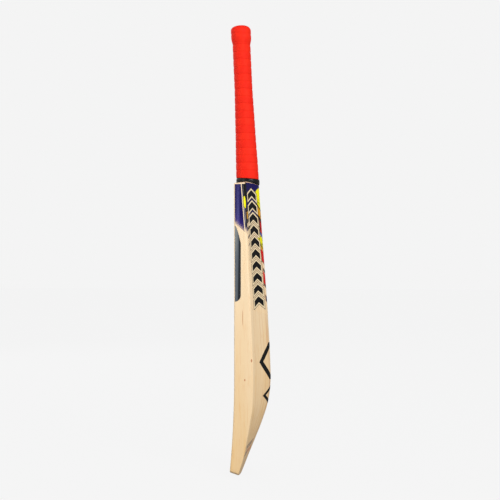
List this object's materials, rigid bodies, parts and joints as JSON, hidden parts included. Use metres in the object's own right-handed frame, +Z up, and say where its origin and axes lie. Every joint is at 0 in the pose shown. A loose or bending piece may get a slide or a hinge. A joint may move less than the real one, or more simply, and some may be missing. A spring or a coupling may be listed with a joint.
{
  "type": "cricket bat",
  "caption": "Full-size short-handle cricket bat: flat-faced willow blade with a thick ridged back, V-spliced laminated cane handle and ribbed rubber grip.",
  "frame": {"origin": "middle of the bounding box's lowest level, under the toe", "axes": "+Z runs up the bat from the toe to the top of the grip, -Y is the way the hitting face looks, +Y is the ridged back, X runs from edge to edge"},
  "size_m": [0.109, 0.076, 0.8503],
  "materials": {
    "willow": "satin, oiled",
    "cane": "matt, bare",
    "spring_rubber": "matt",
    "twine": "waxed thread",
    "band_rubber": "glossy",
    "grip_rubber": "soft satin",
    "printed_film": "gloss, printed",
    "edge_tape": "satin, printed",
    "motif_film": "satin, printed"
  },
  "bodies": {
    "root": {"back_motif_left": "motif_film", "back_motif_right": "motif_film", "back_sticker_left": "printed_film", "back_sticker_right": "printed_film", "base_band": "band_rubber", "blade": "willow", "cane_back_inner_left": "cane", "cane_back_inner_mid": "cane", "cane_back_inner_right": "cane", "cane_back_left": "cane", "cane_back_mid": "cane", "cane_back_right": "cane", "cane_front_inner_left": "cane", "cane_front_inner_mid": "cane", "cane_front_inner_right": "cane", "cane_front_left": "cane", "cane_front_mid": "cane", "cane_front_right": "cane", "edge_sticker_left": "printed_film", "edge_sticker_right": "printed_film", "edge_tape_left": "edge_tape", "edge_tape_right": "edge_tape", "face_sticker": "printed_film", "grip": "grip_rubber", "spring_back": "spring_rubber", "spring_front": "spring_rubber", "spring_mid": "spring_rubber", "twine_binding": "twine"}
  },
  "joints": []
}
